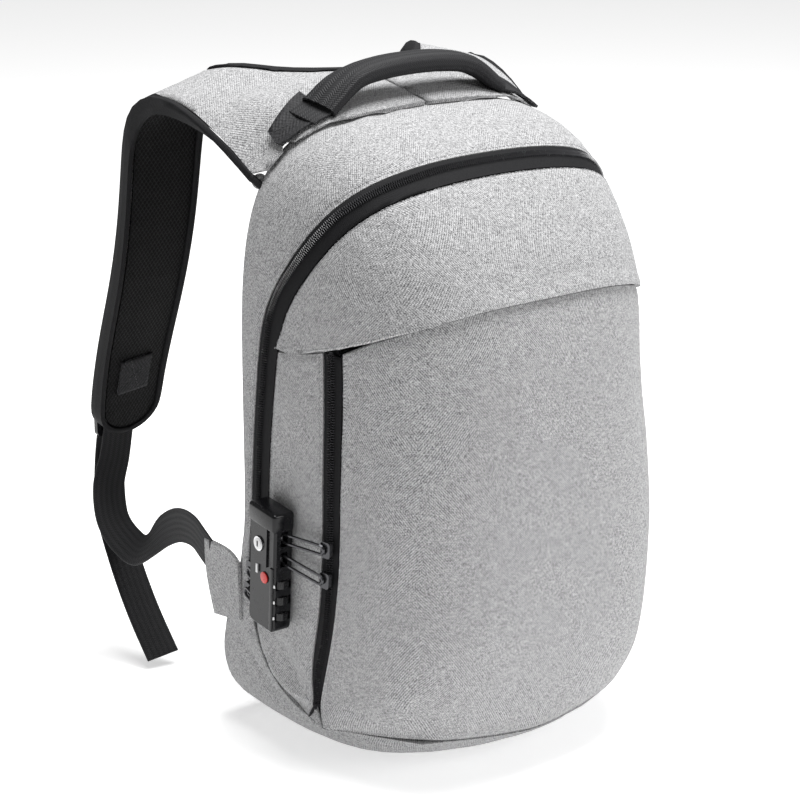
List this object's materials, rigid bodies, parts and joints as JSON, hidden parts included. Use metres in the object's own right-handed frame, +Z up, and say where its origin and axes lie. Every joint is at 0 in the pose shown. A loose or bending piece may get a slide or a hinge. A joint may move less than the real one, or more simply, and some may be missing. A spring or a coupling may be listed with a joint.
{
  "type": "anti-theft backpack",
  "caption": "Soft grey backpack with padded shoulder straps, a top handle, a long curved zip, a side pocket zip and a combination lock that holds the zip pulls.",
  "frame": {"origin": "on the floor, under the middle of the back wall", "axes": "+Z up, the front faces -Y, +X to the right of someone facing the front"},
  "size_m": [0.301, 0.3962, 0.4595],
  "materials": {
    "grey_polyester": "heathered weave",
    "black_tape": "close weave",
    "black_coil": "satin",
    "black_mesh": "open air mesh",
    "black_webbing": "ribbed webbing",
    "black_plastic": "satin",
    "dial_plastic": "satin",
    "steel": "polished",
    "signal_red": "satin"
  },
  "bodies": {
    "bag": {"main_shell": "grey_polyester", "front_yoke": "grey_polyester", "pocket_panel": "grey_polyester", "side_strip": "grey_polyester", "main_zip_tape": "black_tape", "main_zip_coil": "black_coil", "pocket_zip_tape": "black_tape", "pocket_zip_coil": "black_coil", "back_panel": "black_mesh", "strap_pad_left": "grey_polyester", "strap_pad_right": "grey_polyester", "strap_mesh_left": "black_mesh", "strap_mesh_right": "black_mesh", "strap_binding_left": "black_tape", "strap_binding_right": "black_tape", "strap_patch_left": "black_webbing", "strap_patch_right": "black_webbing", "handle_patch_left": "black_webbing", "handle_patch_right": "black_webbing", "top_handle": "black_webbing", "strap_tab_left": "grey_polyester", "strap_tab_right": "grey_polyester", "adjuster_left": "black_plastic", "adjuster_right": "black_plastic", "strap_webbing_left": "black_webbing", "strap_webbing_right": "black_webbing", "strap_tail_left": "black_webbing", "strap_tail_right": "black_webbing", "wing_left": "grey_polyester", "wing_right": "grey_polyester", "lock_case": "black_plastic", "lock_mark": "signal_red", "main_1_slider": "black_plastic", "main_1_pull": "black_plastic", "main_2_slider": "black_plastic", "main_2_pull": "black_plastic", "pocket_1_slider": "black_plastic", "pocket_1_pull": "black_plastic", "pocket_2_slider": "black_plastic", "pocket_2_pull": "black_plastic"},
    "dial_1": {"lock_dial_1": "dial_plastic"},
    "dial_2": {"lock_dial_2": "dial_plastic"},
    "dial_3": {"lock_dial_3": "dial_plastic"},
    "key_barrel": {"lock_key_cylinder": "steel"}
  },
  "joints": [
    {"name": "dial_1_spin", "type": "hinge", "parent": "bag", "child": "dial_1", "pos_m": [-0.14459, -0.05437, 0.11023], "axis": [0, -0.0698, 0.9976], "continuous": true},
    {"name": "dial_2_spin", "type": "hinge", "parent": "bag", "child": "dial_2", "pos_m": [-0.14459, -0.05517, 0.1218], "axis": [0, -0.0698, 0.9976], "continuous": true},
    {"name": "dial_3_spin", "type": "hinge", "parent": "bag", "child": "dial_3", "pos_m": [-0.14459, -0.05598, 0.13337], "axis": [0, -0.0698, 0.9976], "continuous": true},
    {"name": "key_turn", "type": "hinge", "parent": "bag", "child": "key_barrel", "pos_m": [-0.15239, -0.04561, 0.15996], "axis": [-1, 0, 0], "range_deg": [0, 90]}
  ]
}
